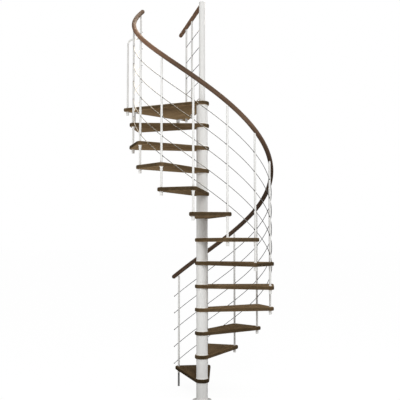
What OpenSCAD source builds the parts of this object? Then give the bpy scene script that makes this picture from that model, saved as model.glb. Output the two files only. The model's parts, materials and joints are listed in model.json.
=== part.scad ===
/* [Stair] */
// Number of wedge treads below the landing
tread_count = 12; // [8:1:14]
// Height from one tread to the next
riser = 222; // [190:1:240]
// Height of the first tread above the floor
first_riser = 207; // [180:1:240]
// Angle turned by each tread
step_angle = 26; // [22:0.05:30]
// Direction of the first baluster, measured from +X
first_angle = 111.4; // [90:0.1:135]
// Radius of the circle that the balusters stand on
baluster_circle_r = 668; // [600:1:760]
// Clearance around a piece that passes through another
fit_gap = 0.3; // [0.2:0.05:0.5]

/* [Column] */
// Diameter of the steel pole inside the column
pole_d = 60; // [50:1:70]
// Wall thickness of the pole
pole_wall = 4; // [3:0.5:6]
// Height of the pole above the landing
pole_rise = 991; // [980:1:1100]
// Thickness of the cap on the pole
pole_cap_h = 8; // [5:1:12]
// Diameter of the column's spacer tubes
spacer_d = 109; // [100:1:116]
// Extra radius of the flared skirt at a spacer's lower end
skirt_flare = 4; // [2:0.5:6]
// Height of the end rings of a spacer
ring_h = 28; // [16:1:40]
// Extra radius of the plain ring at a spacer's upper end
ring_step = 1; // [0.5:0.5:3]

/* [Base] */
// Diameter of the floor plate
base_d = 180; // [170:1:240]
// Thickness of the floor plate
base_t = 8; // [6:1:12]
// Distance of the square of four floor bolts from the floor plate's sides
bolt_in = 38; // [32:1:42]
// Diameter of a floor bolt's hole
bolt_hole_d = 11; // [9:0.5:14]
// Height of the spigot that holds the pole
spigot_h = 60; // [40:1:90]

/* [Treads] */
// Thickness of a tread and of the landing
tread_t = 36; // [30:1:44]
// Radius of a tread's round end about the column
hub_r = 69; // [64:1:76]
// Radius of a tread's corners about their balusters
corner_r = 36; // [28:1:42]
// Radius of the rounded edges
edge_r = 9; // [5:0.5:12]

/* [Landing] */
// Angle between the landing's front edge and its rail side
landing_angle = 49.5; // [45:0.5:70]
// Distance of the outer edge beyond the circle of balusters
outer_beyond = 88; // [70:1:120]
// Angle between the front edge and a line through the last baluster
landing_skew = 4; // [2:0.1:4.5]
// Radius of the landing's outer corners
landing_corner_r = 14; // [10:1:24]

/* [Balusters] */
// Diameter of a baluster
baluster_d = 20; // [16:1:24]
// Height of a baluster's foot cap
foot_h = 38; // [30:1:48]
// Diameter of a baluster's foot cap
foot_d = 28; // [27:1:34]
// Thickness of the closed end of a foot cap
foot_floor = 8; // [5:1:12]
// Height of the flared collar under a tread
collar_h = 34; // [24:1:44]
// Diameter of the flared collar at the tread
collar_d = 40; // [36:1:48]
// Wall of the flared collar at its narrow end
collar_wall = 2.5; // [2:0.5:4]
// Height of the washer on a tread
washer_h = 5; // [3:0.5:8]

/* [Handrail] */
// Diameter of the handrail
handrail_d = 43; // [38:1:48]
// Height of the handrail's middle above the tread at each baluster
handrail_rise = 973; // [920:1:1040]
// Length of handrail before the first baluster, as a part of a step
handrail_lead = 0.19; // [0.1:0.01:0.4]
// Length of handrail past the last baluster, as a part of a step
handrail_tail = 0.11; // [0.05:0.01:0.4]
// Steps spanned by one length of handrail or rod, which meets the next at a baluster
length_steps = 2; // [1:1:4]

/* [Rods] */
// Number of rods below the handrail
rod_count = 5; // [3:1:6]
// Diameter of a rod
rod_d = 6; // [4:0.5:7]
// Height of the handrail's middle above the first rod
rod_drop = 210; // [150:1:230]
// Height from one rod to the next
rod_pitch = 174; // [120:1:176]
// Length of rod past the end balusters, as a part of a step
rod_tail = 0.15; // [0.1:0.01:0.3]
// Diameter of the bush that lines a rod's hole in a baluster
bush_d = 10; // [9:0.5:11]
// Length of bush that stands out on each side of a baluster
bush_out = 3.5; // [3:0.5:5]
// Clearance of a rod in its bush
bush_gap = 0.5; // [0.4:0.05:0.7]
// Length of a rod's end ferrule
ferrule_l = 11; // [8:1:16]

/* [Landing rail] */
// Height of the landing rail's middle above the landing
landing_rail_rise = 976; // [900:1:980]
// Length of the landing rail beyond the landing's reach
rail_beyond = 265; // [200:1:300]
// Angle between the landing rail and the landing's rail side
rail_turn = 1.9; // [0:0.1:4]
// Distance of the first landing post from the landing's reach
near_post_in = 318; // [280:1:360]
// Distance of the second landing post from the landing's reach
far_post_in = 52; // [50:1:120]
// Height of the landing rail's middle above its first rod
landing_rod_drop = 222; // [180:1:240]
// Height of the bent corner rod above the landing
corner_rod_rise = 712; // [600:1:760]
// Bend radius of the corner rod
corner_bend_r = 46; // [30:1:70]
// Diameter of the corner rod
corner_rod_d = 18; // [14:1:20]
// Distance of the corner rod from the outer edge
corner_rod_in = 22; // [20:1:40]
// Distance of the corner rod from the front edge
corner_rod_back = 33; // [28:1:50]

/* [Landing anchors] */
// Width of an anchor bracket
anchor_w = 44; // [36:1:60]
// Thickness of an anchor bracket
anchor_t = 5; // [4:0.5:8]
// Length of the leg under the landing
anchor_leg = 70; // [56:1:90]
// Length of the leg that hangs down
anchor_drop = 115; // [90:1:140]
// Distance of an anchor from the landing's corner
anchor_in = 110; // [90:1:150]
// Diameter of an anchor's holes
anchor_hole_d = 11; // [9:0.5:13]
// Depth of the upper hole below the landing, as a part of the hanging leg
anchor_upper = 0.4; // [0.3:0.05:0.5]
// Depth of the lower hole below the landing, as a part of the hanging leg
anchor_lower = 0.8; // [0.7:0.05:0.85]

/* [Hidden] */
$fn = 64;
slab_fn = 28;
rail_sides = 16;
rod_sides = 8;
least_turn = 0.02;
cut_over = 1;
wood = "#5f4a36";
rail_wood = "#7a5c4a";
white_paint = "#e6e6e2";
stainless = "#8f9092";
dark_bush = "#4a4a4a";

tread_names = [for (k = [1:tread_count]) str("tread_", k < 10 ? "0" : "", k)];
baluster_names = [for (k = [0:tread_count]) str("baluster_", k < 10 ? "0" : "", k)];
rod_names = [for (i = [1:rod_count]) str("rail_rod_", i)];

bolt_pitch = base_d - 2 * bolt_in;
pole_r = pole_d / 2;
baluster_r = baluster_d / 2;
handrail_r = handrail_d / 2;
rod_r = rod_d / 2;
bush_r = bush_d / 2;
spacer_r = spacer_d / 2;
collar_floor = baluster_r + collar_wall;

// Heights
landing_z = tread_top(tread_count + 1);
landing_under = landing_z - tread_t;
pole_top = landing_z + pole_rise;
landing_reach = baluster_circle_r + outer_beyond;
landing_rail_l = landing_reach + rail_beyond;
near_post = landing_reach - near_post_in;
far_post = landing_reach - far_post_in;
landing_rail_z = landing_z + landing_rail_rise;

// The handrail and the rods climb one riser for each step turned
step_run = baluster_circle_r * step_angle * PI / 180;
step_length = norm([step_run, riser]);
climb_angle = atan2(riser, step_run);
dome_drop = (handrail_r + fit_gap + baluster_r) / cos(climb_angle);

// Bushes reach through the balusters, aslant there and level in the landing posts
bush_l = baluster_d / cos(climb_angle) + 2 * bush_out;
post_bush_l = baluster_d + 2 * bush_out;
bush_turn = bush_l / (2 * step_length);

// Parts of each step where a tube has a ring; rods run straight through their bushes
rail_parts = [for (i = [0:5]) i / 6];
rod_parts = [bush_turn, 0.25, 0.5, 0.75, 1 - bush_turn];

// Directions of the landing's sides and the normals of its edges
front_dir = baluster_angle(tread_count) - landing_skew;
side_dir = front_dir - landing_angle;
front_normal = front_dir + 90;
side_normal = side_dir - 90;
outer_normal = (front_dir + side_dir) / 2;
rail_dir = side_dir - rail_turn;

function polar(r, a) = [r * cos(a), r * sin(a)];
function baluster_angle(k) = first_angle - k * step_angle;
function baluster_at(k) = polar(baluster_circle_r, baluster_angle(k));
function tread_top(k) = first_riser + (k - 1) * riser;
function handrail_z(turn) = handrail_rise + tread_top(turn + 1);
function rod_fall(i) = rod_drop + i * rod_pitch;

// Point where two lines meet, each given by its normal's angle and its distance from the axis
function meet(a1, d1, a2, d2) = [
    (d1 * sin(a2) - d2 * sin(a1)) / sin(a2 - a1),
    (d2 * cos(a1) - d1 * cos(a2)) / sin(a2 - a1)
];

front_corner = meet(front_normal, hub_r - landing_corner_r, outer_normal, landing_reach - landing_corner_r);
side_corner = meet(side_normal, hub_r - landing_corner_r, outer_normal, landing_reach - landing_corner_r);
corner_rod_at = meet(front_normal, hub_r - corner_rod_back, outer_normal, landing_reach - corner_rod_in);
corner_span = baluster_at(tread_count) - corner_rod_at;
corner_dir = atan2(corner_span[1], corner_span[0]);

// Place on the landing rail's line, a distance along it from the pole's axis
function along_rail(s) = polar(s, rail_dir);

// Helix through the balusters: place, direction and the ring of a tube around it
function helix_at(turn, drop) = concat(baluster_at(turn), handrail_z(turn) - drop);
function helix_dir(turn) =
    let (a = baluster_angle(turn))
    [step_run * sin(a), -step_run * cos(a), riser] / step_length;
function helix_ring(turn, drop, tube_r, sides, shift) =
    let (
        a = baluster_angle(turn),
        ahead = helix_dir(turn),
        out = [cos(a), sin(a), 0],
        over = cross(ahead, out),
        middle = helix_at(turn, drop) + shift * ahead
    )
    [for (j = [0:sides - 1]) middle + tube_r * (cos(360 * j / sides) * out + sin(360 * j / sides) * over)];

// Turns where a helix tube has a ring, from its first to its last
function helix_turns(first, last, parts) = concat(
    [first],
    [
        for (k = [floor(first):ceil(last)], part = parts)
            if (k + part > first + least_turn && k + part < last - least_turn) k + part
    ],
    [last]
);

// First and last turn of each length that a rail or rod is made in
function lengths(first, last) =
    let (
        half_gap = fit_gap / (2 * step_length),
        joints = [for (k = [length_steps:length_steps:tread_count - 1]) k],
        starts = concat([first], [for (k = joints) k + half_gap]),
        ends = concat([for (k = joints) k - half_gap], [last])
    )
    [for (i = [0:len(joints)]) [starts[i], ends[i]]];

// Tube along the helix, with flat or domed ends
module helix_tube(drop, tube_r, sides, first, last, parts, dome_first = false, dome_last = false) {
    turns = helix_turns(first, last, parts);
    start_dome = dome_first ? [72, 48, 24] : [];
    end_dome = dome_last ? [24, 48, 72] : [];
    rings = concat(
        [for (a = start_dome) helix_ring(first, drop, tube_r * cos(a), sides, -tube_r * sin(a))],
        [for (t = turns) helix_ring(t, drop, tube_r, sides, 0)],
        [for (a = end_dome) helix_ring(last, drop, tube_r * cos(a), sides, tube_r * sin(a))]
    );
    last_ring = len(rings) - 1;
    walls = [
        for (i = [0:last_ring - 1], j = [0:sides - 1])
            let (n = (j + 1) % sides)
            [i * sides + j, i * sides + n, (i + 1) * sides + n, (i + 1) * sides + j]
    ];
    start_face = [for (j = [sides - 1:-1:0]) j];
    end_face = [for (j = [0:sides - 1]) last_ring * sides + j];
    polyhedron([for (ring = rings) each ring], concat(walls, [start_face, end_face]));
}

// Turns local +Z into the climbing direction of the helix
module along_helix(turn, drop) {
    ahead = helix_dir(turn);
    translate(helix_at(turn, drop)) rotate([0, acos(ahead[2]), atan2(ahead[1], ahead[0])]) children();
}

// Turns local +Z along the landing rail, at the height of one of its rods
module along_landing_rod(s, i) {
    translate(concat(along_rail(s), landing_rod_z(i))) rotate([0, 90, rail_dir]) children();
}

// Round column of a slab with rounded edges, for the corners of a hull
module rounded_disc(r) {
    soft = edge_r * (1 - cos(45));
    cylinder(r = r - edge_r, h = tread_t, $fn = slab_fn);
    translate([0, 0, soft]) cylinder(r = r - soft, h = tread_t - 2 * soft, $fn = slab_fn);
    translate([0, 0, edge_r]) cylinder(r = r, h = tread_t - 2 * edge_r, $fn = slab_fn);
}

// Vertical hole through a slab that starts at the given height
module through_hole(at, r, z, h) {
    translate([at[0], at[1], z - cut_over]) cylinder(r = r, h = h + 2 * cut_over);
}

// Upright rod with a domed top
module domed_rod(r, bottom, top) {
    translate([0, 0, bottom])
        rotate_extrude()
            intersection() {
                square([r, top - bottom]);
                union() {
                    square([r, top - bottom - r]);
                    translate([0, top - bottom - r]) circle(r);
                }
            }
}

module base_plate() {
    color(white_paint) {
        difference() {
            cylinder(d = base_d, h = base_t);
            for (x = [-0.5, 0.5], y = [-0.5, 0.5])
                through_hole([x, y] * bolt_pitch, bolt_hole_d / 2, 0, base_t);
        }
        translate([0, 0, base_t]) cylinder(r = pole_r - pole_wall - fit_gap, h = spigot_h);
    }
}

module centre_pole() {
    color(white_paint)
        translate([0, 0, base_t])
            difference() {
                cylinder(r = pole_r, h = pole_top - base_t);
                through_hole([0, 0], pole_r - pole_wall, 0, pole_top - base_t);
            }
}

module pole_cap() {
    soft = pole_cap_h / 2;
    color(white_paint)
        translate([0, 0, pole_top]) {
            rotate_extrude()
                polygon([
                    [0, 0],
                    [pole_r, 0],
                    for (a = [0:15:90]) [pole_r - soft + soft * cos(a), pole_cap_h - soft + soft * sin(a)],
                    [0, pole_cap_h]
                ]);
            translate([0, 0, -spigot_h / 2]) cylinder(r = pole_r - pole_wall - fit_gap, h = spigot_h / 2);
        }
}

// Spacer tube with a flared skirt below and a plain ring above
module spacer(bottom, top) {
    l = top - bottom;
    color(white_paint)
        translate([0, 0, bottom])
            rotate_extrude()
                polygon([
                    [pole_r + fit_gap, 0],
                    for (a = [0:15:90]) [spacer_r + skirt_flare * (1 - sin(a)), ring_h * (1 - cos(a))],
                    [spacer_r, l - ring_h],
                    [spacer_r + ring_step, l - ring_h + ring_step],
                    [spacer_r + ring_step, l],
                    [pole_r + fit_gap, l]
                ]);
}

module column_spacers() {
    for (k = [1:tread_count + 1])
        spacer(k == 1 ? base_t : tread_top(k - 1), tread_top(k) - tread_t);
}

// Wedge tread from the round end at the column to the balusters at its two corners
module tread(k) {
    bottom = tread_top(k) - tread_t;
    color(wood)
        difference() {
            translate([0, 0, bottom])
                hull() {
                    rounded_disc(hub_r);
                    translate(baluster_at(k - 1)) rounded_disc(corner_r);
                    translate(baluster_at(k)) rounded_disc(corner_r);
                }
            through_hole([0, 0], pole_r + fit_gap, bottom, tread_t);
            through_hole(baluster_at(k - 1), baluster_r + fit_gap, bottom, tread_t);
            through_hole(baluster_at(k), baluster_r + fit_gap, bottom, tread_t);
        }
}

// Board from the round end at the column to its two outer corners
module landing() {
    color(wood)
        difference() {
            translate([0, 0, landing_under])
                hull() {
                    rounded_disc(hub_r);
                    translate(front_corner) rounded_disc(landing_corner_r);
                    translate(side_corner) rounded_disc(landing_corner_r);
                }
            through_hole([0, 0], pole_r + fit_gap, landing_under, tread_t);
            through_hole(baluster_at(tread_count), baluster_r + fit_gap, landing_under, tread_t);
            through_hole(corner_rod_at, corner_rod_d / 2 + fit_gap, landing_under, tread_t);
            for (s = [near_post, far_post])
                through_hole(along_rail(s), baluster_r + fit_gap, landing_under, tread_t);
        }
}

// Hole that takes a rod's bush, across an upright rod
module bush_hole() {
    cylinder(r = bush_r + fit_gap, h = 2 * baluster_d, center = true);
}

// Baluster k stands in the rear corner of tread k and carries the front corner of the next one
module baluster(k) {
    bottom = k == 0 ? 0 : tread_top(k) - tread_t - foot_h + foot_floor;
    color(white_paint)
        difference() {
            translate(baluster_at(k)) domed_rod(baluster_r, bottom, handrail_z(k) - dome_drop + baluster_r);
            for (i = [0:rod_count - 1]) along_helix(k, rod_fall(i)) bush_hole();
        }
}

// Cup that closes the lower end of an upright rod
module foot_cup(rod_r) {
    foot_r = foot_d / 2;
    soft = foot_r / 3;
    color(white_paint)
        rotate_extrude()
            polygon([
                [0, 0],
                for (a = [-90:15:0]) [foot_r - soft + soft * cos(a), soft + soft * sin(a)],
                [foot_r, foot_h],
                [rod_r + fit_gap, foot_h],
                [rod_r + fit_gap, foot_floor],
                [0, foot_floor]
            ]);
}

module baluster_feet() {
    for (k = [1:tread_count])
        translate(concat(baluster_at(k), tread_top(k) - tread_t - foot_h)) foot_cup(baluster_r);
    for (s = [near_post, far_post])
        translate(concat(along_rail(s), landing_under - foot_h)) foot_cup(baluster_r);
    translate(concat(corner_rod_at, landing_under - foot_h)) foot_cup(corner_rod_d / 2);
}

// Flared collar with its wide end against the tread above
module flared_collar() {
    bore_r = baluster_r + fit_gap;
    flare = collar_d / 2 - collar_floor;
    color(white_paint)
        rotate_extrude()
            polygon([
                [bore_r, -collar_h],
                [collar_floor, -collar_h],
                for (a = [0:15:90]) [collar_floor + flare * (1 - cos(a)), -collar_h / 2 + (collar_h / 2) * sin(a)],
                [bore_r, 0]
            ]);
}

// Washer where an upright rod enters the top of a tread
module washer(hole_r) {
    color(white_paint)
        rotate_extrude()
            polygon([
                [hole_r + fit_gap, 0],
                [foot_d / 2, 0],
                [foot_d / 2, washer_h / 2],
                [foot_d / 2 - washer_h / 2, washer_h],
                [hole_r + fit_gap, washer_h]
            ]);
}

module baluster_collars() {
    for (k = [0:tread_count]) {
        translate(concat(baluster_at(k), tread_top(k + 1) - tread_t)) flared_collar();
        if (k > 0) translate(concat(baluster_at(k), tread_top(k))) washer(baluster_r);
    }
    for (s = [near_post, far_post]) translate(concat(along_rail(s), landing_z)) washer(baluster_r);
    translate(concat(corner_rod_at, landing_z)) washer(corner_rod_d / 2);
}

module handrail() {
    spans = lengths(-handrail_lead, tread_count + handrail_tail);
    last_span = len(spans) - 1;
    color(rail_wood)
        for (i = [0:last_span])
            helix_tube(
                0, handrail_r, rail_sides, spans[i][0], spans[i][1], rail_parts,
                dome_first = i == 0, dome_last = i == last_span
            );
}

// Helical rod that passes through the balusters
module rail_rod(i) {
    color(stainless)
        for (span = lengths(-rod_tail, tread_count + rod_tail / 2))
            helix_tube(rod_fall(i - 1), rod_r, rod_sides, span[0], span[1], rod_parts);
}

module bush(l) {
    color(dark_bush)
        difference() {
            cylinder(r = bush_r, h = l, center = true);
            cylinder(r = rod_r + bush_gap, h = l + 2 * cut_over, center = true);
        }
}

// Bushes hold the rods in the balusters and in the landing posts
module rod_bushes() {
    for (i = [0:rod_count - 1]) {
        for (k = [0:tread_count]) along_helix(k, rod_fall(i)) bush(bush_l);
        for (s = [near_post, far_post]) along_landing_rod(s, i) bush(post_bush_l);
    }
}

function landing_rod_z(i) = landing_rail_z - landing_rod_drop - i * rod_pitch;

module ferrule() {
    color(dark_bush)
        rotate_extrude()
            polygon([
                [0, 0],
                [bush_r, 0],
                [bush_r, ferrule_l / 2],
                [rod_r, ferrule_l],
                [0, ferrule_l]
            ]);
}

// Ferrules close the free ends of the helical rods
module rod_ends() {
    for (i = [0:rod_count - 1]) {
        along_helix(-rod_tail, rod_fall(i)) mirror([0, 0, 1]) ferrule();
        along_helix(tread_count + rod_tail / 2, rod_fall(i)) ferrule();
    }
}

// Straight rail from the pole to a domed end
module landing_rail() {
    color(rail_wood)
        difference() {
            translate([0, 0, landing_rail_z])
                rotate([0, 90, rail_dir])
                    domed_rod(handrail_r, 0, landing_rail_l);
            through_hole([0, 0], pole_r + fit_gap, landing_rail_z - handrail_d, 2 * handrail_d);
        }
}

module landing_posts() {
    for (s = [near_post, far_post])
        color(white_paint)
            difference() {
                translate(along_rail(s))
                    domed_rod(baluster_r, landing_under - foot_h + foot_floor, landing_rail_z - handrail_r - fit_gap);
                for (i = [0:rod_count - 1]) along_landing_rod(s, i) bush_hole();
            }
}

// Level rods from the pole to the second landing post
module landing_rods() {
    seat = pole_r + fit_gap;
    color(stainless)
        for (i = [0:rod_count - 1])
            along_landing_rod(seat, i) cylinder(r = rod_r, h = far_post + post_bush_l / 2 - seat);
}

// Upright rod at the landing's corner, bent over to the last baluster
module corner_rod() {
    r = corner_rod_d / 2;
    bottom = landing_under - foot_h + foot_floor;
    bend_z = landing_z + corner_rod_rise - corner_bend_r;
    color(white_paint)
        difference() {
            translate(corner_rod_at)
                rotate([0, 0, corner_dir]) {
                    translate([0, 0, bottom]) cylinder(r = r, h = bend_z - bottom);
                    translate([corner_bend_r, 0, bend_z])
                        rotate([90, 0, 0])
                            rotate([0, 0, 90])
                                rotate_extrude(angle = 90) translate([corner_bend_r, 0]) circle(r);
                    translate([corner_bend_r, 0, bend_z + corner_bend_r])
                        rotate([0, 90, 0]) cylinder(r = r, h = norm(corner_span) - corner_bend_r);
                }
            through_hole(baluster_at(tread_count), baluster_r + fit_gap, bend_z, 2 * corner_bend_r);
        }
}

// Angle bracket under the outer edge that fastens the landing to a floor's edge
module landing_anchor(place) {
    face = landing_reach - edge_r;
    color(white_paint)
        rotate([0, 0, outer_normal])
            translate([face, place, landing_under])
                difference() {
                    union() {
                        translate([-anchor_leg, -anchor_w / 2, -anchor_t]) cube([anchor_leg, anchor_w, anchor_t]);
                        translate([-anchor_t, -anchor_w / 2, -anchor_drop]) cube([anchor_t, anchor_w, anchor_drop]);
                    }
                    through_hole([-anchor_leg / 2, 0], anchor_hole_d / 2, -anchor_t, anchor_t);
                    for (depth = [anchor_upper, anchor_lower])
                        translate([-anchor_t, 0, -anchor_drop * depth])
                            rotate([0, 90, 0]) through_hole([0, 0], anchor_hole_d / 2, 0, anchor_t);
                }
}

module landing_anchors() {
    edge_dir = outer_normal + 90;
    front_end = front_corner * polar(1, edge_dir);
    side_end = side_corner * polar(1, edge_dir);
    landing_anchor(front_end - anchor_in);
    landing_anchor(side_end + anchor_in);
}

base_plate();
centre_pole();
pole_cap();
column_spacers();
for (k = [1:tread_count]) tread(k);
landing();
for (k = [0:tread_count]) baluster(k);
baluster_feet();
baluster_collars();
handrail();
for (i = [1:rod_count]) rail_rod(i);
rod_bushes();
rod_ends();
landing_rail();
landing_posts();
landing_rods();
corner_rod();
landing_anchors();
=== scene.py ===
import json
import math

import bmesh
import bpy
from mathutils import Matrix, Vector


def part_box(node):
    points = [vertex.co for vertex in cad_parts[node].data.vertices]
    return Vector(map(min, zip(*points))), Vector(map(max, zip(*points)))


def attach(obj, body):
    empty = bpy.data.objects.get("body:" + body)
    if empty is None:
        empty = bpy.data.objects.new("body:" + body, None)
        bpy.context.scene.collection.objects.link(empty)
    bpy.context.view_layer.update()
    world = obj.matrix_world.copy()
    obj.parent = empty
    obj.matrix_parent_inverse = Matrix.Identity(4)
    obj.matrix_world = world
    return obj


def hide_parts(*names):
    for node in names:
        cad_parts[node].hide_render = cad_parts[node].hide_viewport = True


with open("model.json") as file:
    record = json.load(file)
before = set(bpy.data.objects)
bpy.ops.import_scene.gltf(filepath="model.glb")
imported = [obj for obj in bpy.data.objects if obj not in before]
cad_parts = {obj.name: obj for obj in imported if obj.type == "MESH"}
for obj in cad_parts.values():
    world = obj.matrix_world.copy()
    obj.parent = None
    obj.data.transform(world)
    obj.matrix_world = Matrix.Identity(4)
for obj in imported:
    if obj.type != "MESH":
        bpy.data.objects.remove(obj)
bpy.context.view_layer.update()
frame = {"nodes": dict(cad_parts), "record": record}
nodes = frame["nodes"]

# Counts, and sizes in metres, as the solids have them
TREAD_COUNT = 12
HANDRAIL_R = 0.0215
HANDRAIL_RISE = 0.973
ROD_COUNT = 5
ROD_R = 0.003
ROD_DROP = 0.210
ROD_PITCH = 0.174
BOLT_ACROSS = 0.016
WASHER_R = 0.0105

# Lengths of the rails past the first and the last baluster, in steps
HANDRAIL_LEAD = 0.19
HANDRAIL_TAIL = 0.11
ROD_LEAD = 0.15
ROD_TAIL = 0.075

# Fineness of the sweeps, and the angles of the rings in a domed end
HANDRAIL_SIDES = 40
ROD_SIDES = 14
RINGS_PER_STEP = 16
DOME_ANGLES = (12, 24, 36, 48, 60, 72, 82)

# Shading of the solids: distance in metres within which points are welded, and angle of a crisp edge
WELD_DISTANCE = 1e-5
CRISP_ANGLE = math.radians(50)

# The photograph's camera
IMAGE_WIDTH = 400
FOCAL_PIXELS = 646.7
SENSOR = 36.0
CAMERA_PLACE = Vector((0.0, -6.256, 1.496))
CAMERA_TILT = math.radians(3.768)
CAMERA_PAN = math.radians(0.181)
CAMERA_ROLL = math.radians(0.011)

# Stains: dark, light and middle colour of the grain
BOARD_STAIN = ((0.184, 0.121, 0.060), (0.351, 0.239, 0.129), (0.262, 0.177, 0.092))
HANDRAIL_STAIN = ((0.115, 0.068, 0.044), (0.205, 0.130, 0.088), (0.153, 0.095, 0.063))
LANDING_RAIL_STAIN = ((0.178, 0.101, 0.062), (0.316, 0.191, 0.123), (0.236, 0.141, 0.088))

# Tone of each tread and of the landing, partly their own staining and partly painted light and shade, as on
# the dark lowest tread and the light landing; and painted light and shade along the handrail in steps from
# its first baluster
TREAD_STAIN_AND_SHADE = (0.55, 0.98, 0.82, 1.23, 1.08, 0.85, 1.26, 0.92, 0.92, 1.26, 1.37, 1.16)
LANDING_STAIN_AND_LIGHT = 1.5
# Painted light and shade along the handrail, by steps from its first baluster
HANDRAIL_LIGHT_AND_SHADE = (
    (0.0, 0.60),
    (1.2, 0.70),
    (2.2, 0.52),
    (3.3, 0.52),
    (4.4, 0.45),
    (5.0, 0.55),
    (5.7, 0.82),
    (6.4, 0.95),
    (7.4, 0.76),
    (8.5, 0.70),
    (9.3, 1.55),
    (10.5, 1.55),
    (11.2, 0.95),
    (12.0, 0.95),
)

# Boards: their staves in metres, the painted shade on their edges, also on pale boards, and the tint of
# their end grain
STAVE_LENGTH = 0.42
STAVE_WIDTH = 0.058
STAVE_JOINT = 0.0006
EDGE_PAINTED_SHADE = 0.42
PALE_BOARD_TONE = 1.2
PALE_EDGE_PAINTED_SHADE = 0.5
END_GRAIN_TINT = (0.70, 0.72, 0.74)

# Grain's scale along and across the wood
BROAD_GRAIN = (2.2, 34.0, 34.0)
FINE_GRAIN = (9.0, 260.0, 260.0)
PORE_GRAIN = (40.0, 1300.0, 1300.0)

# Paints: dark and light colour, scale and depth of the skin, roughness
POWDER_COAT = ((0.80, 0.795, 0.77), (0.83, 0.825, 0.80), 1500.0, 0.0003, 0.38)
WHITE_PLASTIC = ((0.79, 0.785, 0.76), (0.82, 0.815, 0.79), 2600.0, 0.00015, 0.46)
DARK_PLASTIC = ((0.035, 0.035, 0.037), (0.05, 0.05, 0.052), 2600.0, 0.0002, 0.5)
# Painted shade on the walls of painted and moulded parts, against their level faces
WALL_PAINTED_SHADE = (0.83, 0.83, 0.835)
PAINT_GLOSS = 0.06

# Painted light and shade on the column by height in metres, darker towards the floor and lighter high up;
# and the tone of the first baluster's foot below the first tread, which is darker
TINT_TOP = 3.8
COLUMN_PAINTED_SHADE = ((0.0, 0.84), (0.3, 0.92), (0.9, 1.0), (1.8, 1.02), (2.4, 1.10))
FOOT_DARK_TONE = 0.28

# Metals: dark and light colour, scale of the lines, roughness
# Painted shade: the spiral rods' steel far darker than the same stainless on the level rods
SHADED_STEEL = ((0.13, 0.126, 0.120), (0.18, 0.175, 0.167), (6.0, 1800.0, 1800.0), 0.22)
STRAIGHT_STEEL = ((0.55, 0.545, 0.535), (0.68, 0.675, 0.665), (900.0, 900.0, 900.0), 0.22)
PLATED_STEEL = ((0.50, 0.50, 0.49), (0.62, 0.615, 0.60), (700.0, 700.0, 700.0), 0.36)

# Brightness of the floor, of the fill and of what gloss mirrors
FLOOR_BOUNCE = 0.88
FLOOR_SHADE = 0.10
FLOOR_LIFT = 0.936
FLOOR_HALF = 120.0
FRONT_FILL = 0.80
BACK_FILL = 0.32
BRIGHT_SIDE = (0.8, 0.0, 0.6)
BRIGHT_EDGES = (0.4, 0.8)
DIM_REFLECTION = 0.04
BRIGHT_REFLECTION = 4.0

# Full white, or no tint
WHITE = (1.0, 1.0, 1.0)


def middle(node):
    low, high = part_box(node)
    return (low + high) / 2


def direction_of(node):
    """Direction from the stair's axis to a node's middle."""
    place = middle(node)
    return math.atan2(place.y, place.x)


circle_r = middle("baluster_00").xy.length
first_angle = direction_of("baluster_00")
step_angle = first_angle - direction_of("baluster_01")
first_tread_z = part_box("tread_01")[1].z
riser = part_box("tread_02")[1].z - first_tread_z


# Node helpers

def set_socket(tree, socket, value):
    """Give a socket a number or colour, or link another node's socket to it."""
    if isinstance(value, bpy.types.NodeSocket):
        tree.links.new(value, socket)
    else:
        socket.default_value = value


def add_node(tree, kind, inputs=None, **settings):
    """A node with its settings, and its inputs given as numbers, colours or other nodes' sockets."""
    node = tree.nodes.new(kind)
    for name, value in settings.items():
        setattr(node, name, value)
    for name, value in (inputs or {}).items():
        set_socket(tree, node.inputs[name], value)
    return node


def noise(tree, vector, scale, detail=4.0, roughness=0.55, distortion=0.0):
    inputs = {
        "Vector": vector,
        "Scale": scale,
        "Detail": detail,
        "Roughness": roughness,
        "Distortion": distortion,
    }
    return add_node(tree, "ShaderNodeTexNoise", inputs).outputs["Fac"]


def spread(tree, value, low, high, new_low, new_high):
    """Value moved from one range to another, and held at its ends."""
    inputs = {
        "Value": value,
        "From Min": low,
        "From Max": high,
        "To Min": new_low,
        "To Max": new_high,
    }
    return add_node(tree, "ShaderNodeMapRange", inputs).outputs["Result"]


def scaled(tree, vector, scale):
    return add_node(tree, "ShaderNodeMapping", {"Vector": vector, "Scale": scale}).outputs["Vector"]


def turned(tree, vector, turn, place=(0.0, 0.0, 0.0)):
    """Vector turned about the upright axis, then moved."""
    inputs = {"Vector": vector, "Location": place, "Rotation": (0.0, 0.0, turn)}
    return add_node(tree, "ShaderNodeMapping", inputs).outputs["Vector"]


def ramp(tree, factor, stops):
    node = add_node(tree, "ShaderNodeValToRGB", {"Fac": factor})
    points = node.color_ramp.elements
    while len(points) < len(stops):
        points.new(1.0)
    for point, (place, colour) in zip(points, stops):
        point.position = place
        point.color = (*colour, 1.0)
    return node.outputs["Color"]


def multiply(tree, factor, colour, tint):
    """Colour times tint; a colour Mix node has them at sockets 6 and 7, and its result at 2."""
    inputs = {0: factor, 6: colour, 7: tint}
    node = add_node(tree, "ShaderNodeMix", inputs, data_type="RGBA", blend_type="MULTIPLY")
    return node.outputs[2]


def bump(tree, relief, strength, distance):
    inputs = {"Height": relief, "Strength": strength, "Distance": distance}
    return add_node(tree, "ShaderNodeBump", inputs).outputs["Normal"]


def dot(tree, vector, axis):
    inputs = {0: vector, 1: axis}
    return add_node(tree, "ShaderNodeVectorMath", inputs, operation="DOT_PRODUCT").outputs["Value"]


def absolute(tree, value):
    return add_node(tree, "ShaderNodeMath", {0: value}, operation="ABSOLUTE").outputs["Value"]


def part_of(tree, vector, axis):
    return add_node(tree, "ShaderNodeSeparateXYZ", {"Vector": vector}).outputs[axis]


def object_coords(tree):
    return add_node(tree, "ShaderNodeTexCoord").outputs["Object"]


def grain_coords(tree):
    return add_node(tree, "ShaderNodeAttribute", attribute_name="grain").outputs["Vector"]


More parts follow.
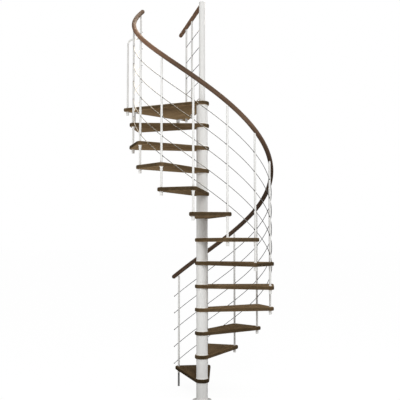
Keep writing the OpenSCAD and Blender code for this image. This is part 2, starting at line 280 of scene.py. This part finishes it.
def surface_normal(tree):
    return add_node(tree, "ShaderNodeNewGeometry").outputs["Normal"]


def levelness(tree):
    """How level a face lies: 0 on a wall, 1 on a top or an underside."""
    return absolute(tree, part_of(tree, surface_normal(tree), "Z"))


def new_material(name):
    material = bpy.data.materials.new(name)
    material.use_nodes = True
    tree = material.node_tree
    return material, tree, tree.nodes["Principled BSDF"]


def set_inputs(tree, shader, **values):
    names = {
        "colour": "Base Color",
        "roughness": "Roughness",
        "normal": "Normal",
        "metallic": "Metallic",
        "specular": "Specular IOR Level",
    }
    for name, value in values.items():
        set_socket(tree, shader.inputs[names[name]], value)


# Tints, each a function that a material calls with its tree

def height_tint(stops):
    """Tint that changes with the height above the floor."""
    def tint(tree):
        height = part_of(tree, object_coords(tree), "Z")
        level = spread(tree, height, 0.0, TINT_TOP, 0.0, 1.0)
        return ramp(tree, level, [(z / TINT_TOP, (tone, tone, tone)) for z, tone in stops])

    return tint


def end_grain_tint(angle):
    """Tint that darkens the faces cut across the grain."""
    def tint(tree):
        grain = (math.cos(angle), math.sin(angle), 0.0)
        across = absolute(tree, dot(tree, surface_normal(tree), grain))
        return ramp(tree, across, [(0.3, WHITE), (0.85, END_GRAIN_TINT)])

    return tint


def handrail_painted_light(tree):
    """Painted light and shade along the handrail: lighter and warmer where light falls on it, darker where
    it lies in shade.
    """
    step_length = math.hypot(circle_r * step_angle, riser)
    along = part_of(tree, grain_coords(tree), "X")
    steps = spread(tree, along, 0.0, TREAD_COUNT * step_length, 0.0, 1.0)
    stops = []
    for turn, tone in HANDRAIL_LIGHT_AND_SHADE:
        stops.append((turn / TREAD_COUNT, (tone ** 1.1, tone, tone ** 0.95)))
    return ramp(tree, steps, stops)


# Materials

def paint(name, dark, light, skin_scale, skin_depth, rough, tint=None):
    """Painted or moulded surface: a fine skin, and painted shade that makes walls darker than tops."""
    material, tree, shader = new_material(name)
    place = object_coords(tree)
    skin = noise(tree, place, skin_scale, 2.0)
    colour = ramp(tree, noise(tree, place, 5.0, 3.0), [(0.3, dark), (0.7, light)])
    # Painted shade: walls darker, tops and sloped rims left lighter
    wall_shade = ramp(tree, levelness(tree), [(0.04, WALL_PAINTED_SHADE), (0.25, WHITE)])
    colour = multiply(tree, 1.0, colour, wall_shade)
    if tint:
        colour = multiply(tree, 1.0, colour, tint(tree))
    set_inputs(
        tree,
        shader,
        colour=colour,
        roughness=spread(tree, noise(tree, place, 60.0), 0.3, 0.7, rough - 0.05, rough + 0.05),
        normal=bump(tree, skin, 0.25, skin_depth),
        specular=PAINT_GLOSS,
    )
    return material


def stave_tint(tree, vector):
    """Tones of the staves that a board is glued up from, and the lines between them."""
    brick = {
        "Vector": vector,
        "Color1": (0.86, 0.86, 0.87, 1.0),
        "Color2": (1.0, 1.0, 1.0, 1.0),
        "Mortar": (0.62, 0.6, 0.58, 1.0),
        "Scale": 1.0,
        "Mortar Size": STAVE_JOINT,
        "Mortar Smooth": 0.5,
        "Bias": 0.0,
        "Brick Width": STAVE_LENGTH,
        "Row Height": STAVE_WIDTH,
    }
    return add_node(tree, "ShaderNodeTexBrick", brick).outputs["Color"]


def wood(name, along, dark, light, streak, rough, gloss, tint=None, edge=None):
    """Stained wood: tone that runs in streaks, and darker pores; a board has staves and painted shade on
    its edges.
    """
    material, tree, shader = new_material(name)
    vector = along(tree)
    broad = noise(tree, scaled(tree, vector, BROAD_GRAIN), 1.0, 5.0, 0.6, 0.6)
    fine = noise(tree, scaled(tree, vector, FINE_GRAIN), 1.0, 3.0, 0.65)
    pores = noise(tree, scaled(tree, vector, PORE_GRAIN), 1.0, 2.0)
    colour = ramp(tree, broad, [(0.28, dark), (0.52, streak), (0.74, light)])
    fine_tint = ramp(tree, fine, [(0.3, (0.72, 0.70, 0.68)), (0.62, WHITE)])
    colour = multiply(tree, 1.0, colour, fine_tint)
    pore_tint = ramp(tree, pores, [(0.36, (0.55, 0.52, 0.5)), (0.46, WHITE)])
    colour = multiply(tree, 0.8, colour, pore_tint)
    if tint:
        colour = multiply(tree, 1.0, colour, tint(tree))
    if edge:
        colour = multiply(tree, 1.0, colour, stave_tint(tree, vector))
        # Painted shade: a board's walls darker than its top and underside
        edge_shade = ramp(tree, levelness(tree), [(0.3, (edge, edge, edge)), (0.95, WHITE)])
        colour = multiply(tree, 1.0, colour, edge_shade)
    set_inputs(
        tree,
        shader,
        colour=colour,
        roughness=spread(tree, fine, 0.3, 0.7, rough + 0.08, rough - 0.05),
        normal=bump(tree, pores, 0.35, 0.0004),
        specular=gloss,
    )
    return material


def board_wood(name, angle, seed, tone):
    """Wood of one board, with its grain along the given direction and its own tone, which is partly its
    staining and partly painted light and shade.
    """
    offset = (seed * 0.37, seed * 0.0531, seed * 0.71)

    def along(tree):
        return turned(tree, object_coords(tree), -angle, offset)

    # The board's tone scales its colours: partly its staining, partly painted light and shade
    stain = [tuple(tone * level for level in colour) for colour in BOARD_STAIN]
    # Painted shade on the edges, kept at one darkness on boards made pale by painted light
    edge = EDGE_PAINTED_SHADE if tone < PALE_BOARD_TONE else PALE_EDGE_PAINTED_SHADE / tone
    return wood(name, along, *stain, 0.75, 0.01, end_grain_tint(angle), edge)


def metal(name, along, dark, light, scale, rough):
    """Drawn or plated metal with fine lines."""
    material, tree, shader = new_material(name)
    lines = noise(tree, scaled(tree, along(tree), scale), 1.0, 3.0)
    set_inputs(
        tree,
        shader,
        colour=ramp(tree, lines, [(0.3, dark), (0.7, light)]),
        roughness=spread(tree, lines, 0.3, 0.7, rough - 0.07, rough + 0.07),
        normal=bump(tree, lines, 0.15, 0.0001),
        metallic=1.0,
    )
    return material


def landing_rail_along(tree):
    return turned(tree, object_coords(tree), -direction_of("landing_rail"))


# Handrail wood carries painted light and shade along its length
handrail_wood = wood("handrail_wood", grain_coords, *HANDRAIL_STAIN, 0.5, 0.015, handrail_painted_light)
# Spiral rods in the darker copy of the stainless, as painted shade
shaded_steel = metal("stainless_painted_shade", grain_coords, *SHADED_STEEL)
plated_steel = metal("plated_steel", object_coords, *PLATED_STEEL)
slot_materials = {
    "white_metal": paint("white_powder_coat", *POWDER_COAT),
    "white_plastic": paint("white_moulded_plastic", *WHITE_PLASTIC),
    "rod_fitting": paint("dark_moulded_plastic", *DARK_PLASTIC),
    "stainless_rod": metal("straight_stainless", object_coords, *STRAIGHT_STEEL),
    "rail_wood": wood("landing_rail_wood", landing_rail_along, *LANDING_RAIL_STAIN, 0.45, 0.06),
}


def node_material(node, slot):
    if node == "landing":
        # The landing's tone is raised as painted light
        return board_wood("landing_wood", direction_of(node), TREAD_COUNT + 1, LANDING_STAIN_AND_LIGHT)
    if node == "baluster_00":
        # The first baluster's foot below the first tread is made darker than the rest of it
        tread_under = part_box("tread_01")[0].z
        dark_foot = height_tint(((tread_under - 0.001, FOOT_DARK_TONE), (tread_under + 0.001, 1.0)))
        return paint("white_powder_coat_dark_foot", *POWDER_COAT, dark_foot)
    if node == "column_spacers":
        # Painted light and shade: the column darker towards the floor, lighter high up
        return paint("white_powder_coat_column_painted_shade", *POWDER_COAT, height_tint(COLUMN_PAINTED_SHADE))
    # Each tread's tone: partly its staining, partly painted light and shade
    if slot == "tread_wood":
        k = int(node[-2:])
        angle = first_angle - (k - 0.5) * step_angle
        return board_wood(f"{node}_wood", angle, k, TREAD_STAIN_AND_SHADE[k - 1])
    return slot_materials[slot]


# Carried-over solids: round shading with crisp edges

def soften(obj):
    mesh = obj.data
    for name in ("custom_normal", "sharp_face", "sharp_edge"):
        if name in mesh.attributes:
            mesh.attributes.remove(mesh.attributes[name])
    weld = obj.modifiers.new("weld", "WELD")
    weld.merge_threshold = WELD_DISTANCE
    split = obj.modifiers.new("crisp_edges", "EDGE_SPLIT")
    split.split_angle = CRISP_ANGLE
    obj.modifiers.new("even_shading", "WEIGHTED_NORMAL")


for part in frame["record"]["subparts"]:
    solid = nodes[part["node"]]
    solid.data.materials.clear()
    solid.data.materials.append(node_material(part["node"], part["material_slot"]))
    soften(solid)


# Swept rails and rods

def mesh_object(name, work, crisp=40):
    """Object from a finished mesh, smooth apart from its crisp edges."""
    bmesh.ops.recalc_face_normals(work, faces=work.faces)
    mesh = bpy.data.meshes.new(name)
    work.to_mesh(mesh)
    work.free()
    mesh.shade_smooth()
    mesh.set_sharp_from_angle(angle=math.radians(crisp))
    obj = bpy.data.objects.new(name, mesh)
    bpy.context.scene.collection.objects.link(obj)
    return obj


def join_rings(work, rings):
    """Closed skin over rings of as many points each."""
    sides = len(rings[0])
    for ring, following in zip(rings, rings[1:]):
        for j in range(sides):
            n = (j + 1) % sides
            work.faces.new((ring[j], ring[n], following[n], following[j]))
    work.faces.new(reversed(rings[0]))
    work.faces.new(rings[-1])


def dress(obj, material):
    obj.data.materials.append(material)
    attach(obj, "root")


def helix_point(turn, drop):
    angle = first_angle - turn * step_angle
    z = first_tread_z + HANDRAIL_RISE + turn * riser - drop
    return Vector((circle_r * math.cos(angle), circle_r * math.sin(angle), z))


def helix_axes(turn):
    """Outward, upward and forward directions of the helix."""
    angle = first_angle - turn * step_angle
    outward = Vector((math.cos(angle), math.sin(angle), 0.0))
    run = circle_r * step_angle
    forward = Vector((run * math.sin(angle), -run * math.cos(angle), riser)).normalized()
    return outward, forward.cross(outward), forward


def helix_stations(first, last, tube_r, dome):
    """Turn, shift along the tube and radius of each ring, from end to end."""
    count = math.ceil((last - first) * RINGS_PER_STEP)
    body = [(first + (last - first) * i / count, 0.0, tube_r) for i in range(count + 1)]
    if not dome:
        return body
    angles = [math.radians(a) for a in DOME_ANGLES]
    end = [(last, tube_r * math.sin(a), tube_r * math.cos(a)) for a in angles]
    start = [(first, -tube_r * math.sin(a), tube_r * math.cos(a)) for a in reversed(angles)]
    return start + body + end


def helix_sweep(name, drop, tube_r, first, last, sides, dome=False):
    """Round tube along the helix, with its length and section kept as grain coordinates."""
    step_length = math.hypot(circle_r * step_angle, riser)
    work = bmesh.new()
    grain = work.verts.layers.float_vector.new("grain")
    rings = []
    for turn, shift, ring_r in helix_stations(first, last, tube_r, dome):
        outward, upward, forward = helix_axes(turn)
        centre = helix_point(turn, drop) + shift * forward
        ring = []
        for j in range(sides):
            a = 2 * math.pi * j / sides
            vert = work.verts.new(centre + ring_r * (math.cos(a) * outward + math.sin(a) * upward))
            vert[grain] = (turn * step_length + shift, ring_r * math.cos(a), ring_r * math.sin(a))
            ring.append(vert)
        rings.append(ring)
    join_rings(work, rings)
    return mesh_object(name, work)


handrail_end = TREAD_COUNT + HANDRAIL_TAIL
handrail = helix_sweep(
    "handrail_sweep", 0.0, HANDRAIL_R, -HANDRAIL_LEAD, handrail_end, HANDRAIL_SIDES, dome=True
)
dress(handrail, handrail_wood)
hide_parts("handrail")

for i in range(ROD_COUNT):
    drop = ROD_DROP + i * ROD_PITCH
    rod = helix_sweep(f"rod_sweep_{i + 1}", drop, ROD_R, -ROD_LEAD, TREAD_COUNT + ROD_TAIL, ROD_SIDES)
    dress(rod, shaded_steel)
    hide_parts(f"rail_rod_{i + 1}")


# Fasteners

def lathe(work, place, profile, sides):
    """Closed body of rings, each given by its radius and height."""
    angles = [2 * math.pi * j / sides for j in range(sides)]
    rings = []
    for r, z in profile:
        points = [place @ Vector((r * math.cos(a), r * math.sin(a), z)) for a in angles]
        rings.append([work.verts.new(point) for point in points])
    join_rings(work, rings)


def hex_bolt(work, place, across, washer_r):
    """Washer, hexagon head with a chamfered rim, and the flange between them."""
    washer_t = washer_r * 0.16
    rim = washer_t * 0.25
    washer = [(washer_r, 0.0), (washer_r, washer_t - rim), (washer_r - rim, washer_t)]
    lathe(work, place, washer, 32)
    flange_r = across * 0.5
    base = washer_t + rim
    lathe(work, place, [(flange_r, washer_t), (flange_r, base)], 32)
    corner_r = across / math.sqrt(3)
    head_h = across * 0.62
    head = [(corner_r, base), (corner_r, base + head_h * 0.82), (corner_r * 0.86, base + head_h)]
    lathe(work, place, head, 6)


def facing(place, axis):
    """Matrix that stands a fastener on a face, with its axis along the face's normal."""
    turn = Vector((0.0, 0.0, 1.0)).rotation_difference(axis)
    return Matrix.Translation(place) @ turn.to_matrix().to_4x4()


work = bmesh.new()
for mount in frame["record"]["mounts"]:
    if mount["kind"] == "bore":
        axis = -Vector(mount["axis"])
        half = mount["dims"]["length_mm"] / 2000
        spot = Vector(mount["pos_m"]) + axis * half
        hex_bolt(work, facing(spot, axis), BOLT_ACROSS, WASHER_R)
dress(mesh_object("anchor_bolts", work, 30), plated_steel)


# Studio

def pale_floor():
    """White floor that keeps a faint shadow, lights the treads from below and isn't mirrored."""
    material, tree, shader = new_material("pale_floor")
    tree.nodes.remove(shader)
    rays = add_node(tree, "ShaderNodeLightPath").outputs
    camera_ray = rays["Is Camera Ray"]
    tone = spread(tree, camera_ray, 0.0, 1.0, FLOOR_BOUNCE, FLOOR_SHADE)
    diffuse = add_node(tree, "ShaderNodeBsdfDiffuse", {"Color": tone}).outputs["BSDF"]
    lift = spread(tree, camera_ray, 0.0, 1.0, 0.0, FLOOR_LIFT)
    glow = add_node(tree, "ShaderNodeEmission", {"Strength": lift}).outputs["Emission"]
    both = add_node(tree, "ShaderNodeAddShader", {0: diffuse, 1: glow}).outputs["Shader"]
    clear = add_node(tree, "ShaderNodeBsdfTransparent").outputs["BSDF"]
    choice = {0: rays["Is Glossy Ray"], 1: both, 2: clear}
    surface = add_node(tree, "ShaderNodeMixShader", choice).outputs["Shader"]
    tree.links.new(surface, tree.nodes["Material Output"].inputs["Surface"])
    return material


def studio_world():
    """Plain white for the camera, a fill that is stronger in front, and reflections of a bright side."""
    world = bpy.data.worlds.new("studio")
    world.use_nodes = True
    tree = world.node_tree
    rays = add_node(tree, "ShaderNodeLightPath").outputs
    direction = add_node(tree, "ShaderNodeTexCoord").outputs["Generated"]
    side = dot(tree, direction, BRIGHT_SIDE)
    reflected = spread(tree, side, *BRIGHT_EDGES, DIM_REFLECTION, BRIGHT_REFLECTION)
    fill = spread(tree, part_of(tree, direction, "Y"), -1.0, 1.0, FRONT_FILL, BACK_FILL)
    lit = spread(tree, rays["Is Glossy Ray"], 0.0, 1.0, fill, reflected)
    straight = {0: rays["Is Camera Ray"], 1: rays["Is Transmission Ray"]}
    plain = add_node(tree, "ShaderNodeMath", straight, operation="MAXIMUM").outputs["Value"]
    background = tree.nodes["Background"].inputs
    set_socket(tree, background["Strength"], spread(tree, plain, 0.0, 1.0, lit, 1.0))
    background["Color"].default_value = (*WHITE, 1.0)
    return world


def area_lamp(name, place, target, size, level, spread_angle=180, mirrored=False, colour=WHITE):
    """Soft square lamp: level is what it adds to white at its target, mirrored ones show on gloss alone."""
    data = bpy.data.lights.new(name, "AREA")
    data.shape = "SQUARE"
    data.size = size
    data.color = colour
    data.spread = math.radians(spread_angle)
    offset = Vector(target) - Vector(place)
    data.energy = level * (math.pi * offset.length) ** 2
    lamp = bpy.data.objects.new(name, data)
    lamp.location = place
    lamp.rotation_euler = offset.to_track_quat("-Z", "Y").to_euler()
    lamp.visible_glossy = mirrored
    lamp.visible_diffuse = not mirrored
    bpy.context.scene.collection.objects.link(lamp)


work = bmesh.new()
bmesh.ops.create_grid(work, x_segments=8, y_segments=8, size=FLOOR_HALF)
floor = mesh_object("floor", work)
floor.data.materials.append(pale_floor())

bpy.context.scene.world = studio_world()
area_lamp("front", (0.4, -5.6, 3.6), (0.0, 0.0, 2.4), 2.4, 0.50)
area_lamp("left", (-2.6, -1.6, 0.9), (-0.2, 0.0, 3.0), 1.6, 0.07, spread_angle=110)
area_lamp("right", (4.8, -2.0, 4.0), (0.0, 0.0, 2.2), 2.6, 0.06)
warm = (1.0, 0.89, 0.73)
area_lamp("rod_shine", (0.5, 2.7, 6.9), (-0.4, -0.3, 2.8), 5.0, 2.5, mirrored=True, colour=warm)

camera_data = bpy.data.cameras.new("camera")
camera_data.sensor_width = SENSOR
camera_data.lens = FOCAL_PIXELS / IMAGE_WIDTH * SENSOR
camera = bpy.data.objects.new("camera", camera_data)
camera.matrix_world = (
    Matrix.Translation(CAMERA_PLACE)
    @ Matrix.Rotation(CAMERA_PAN, 4, "Z")
    @ Matrix.Rotation(math.pi / 2 + CAMERA_TILT, 4, "X")
    @ Matrix.Rotation(CAMERA_ROLL, 4, "Z")
)
bpy.context.scene.collection.objects.link(camera)
bpy.context.scene.camera = camera
bpy.context.scene.view_settings.view_transform = "Standard"
